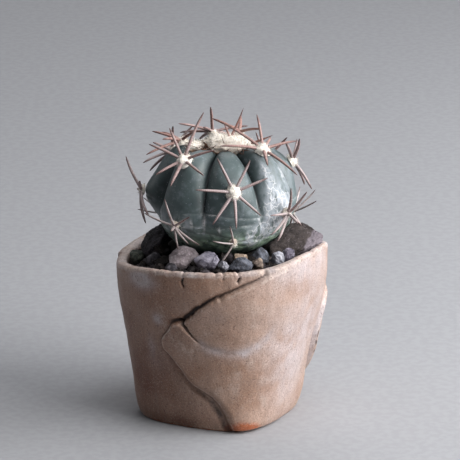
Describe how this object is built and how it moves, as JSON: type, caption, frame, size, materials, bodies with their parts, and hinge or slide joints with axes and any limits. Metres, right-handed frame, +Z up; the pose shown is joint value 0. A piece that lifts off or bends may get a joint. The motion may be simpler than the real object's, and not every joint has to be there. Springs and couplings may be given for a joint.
{
  "type": "potted round cactus",
  "caption": "Round ribbed cactus with woolly areoles and stout curved spines, planted in a hand-built slab pot under a dressing of crushed stone.",
  "frame": {"origin": "middle of the bounding box at the height of the pot's base", "axes": "+Z up, -Y towards the front, where the folded slab's corner shows, +X to its right"},
  "size_m": [0.101, 0.1047, 0.1502],
  "materials": {
    "stoneware": "matte",
    "soil": "matte",
    "gravel": "matte",
    "crushed_stone": "matte",
    "stem_skin": "satin",
    "areole_spines": "satin",
    "crown_wool": "matte"
  },
  "bodies": {
    "root": {"areole_A0": "areole_spines", "areole_A1": "areole_spines", "areole_B1": "areole_spines", "areole_B2": "areole_spines", "areole_C1": "areole_spines", "areole_C2": "areole_spines", "areole_D1": "areole_spines", "areole_D2": "areole_spines", "areole_E1": "areole_spines", "areole_E2": "areole_spines", "areole_F0": "areole_spines", "areole_F1": "areole_spines", "areole_F2": "areole_spines", "areole_G1": "areole_spines", "areole_G2": "areole_spines", "areole_H1": "areole_spines", "areole_H2": "areole_spines", "cactus_stem": "stem_skin", "crown_wool": "crown_wool", "gravel_bed": "gravel", "pot": "stoneware", "potting_soil": "soil", "stone_01": "crushed_stone", "stone_02": "crushed_stone", "stone_03": "crushed_stone", "stone_04": "crushed_stone", "stone_05": "crushed_stone", "stone_06": "crushed_stone", "stone_07": "crushed_stone", "stone_08": "crushed_stone", "stone_09": "crushed_stone", "stone_10": "crushed_stone", "stone_11": "crushed_stone", "stone_12": "crushed_stone", "stone_13": "crushed_stone", "stone_14": "crushed_stone", "stone_15": "crushed_stone", "stone_16": "crushed_stone", "stone_17": "crushed_stone", "stone_18": "crushed_stone", "stone_19": "crushed_stone"}
  },
  "joints": []
}
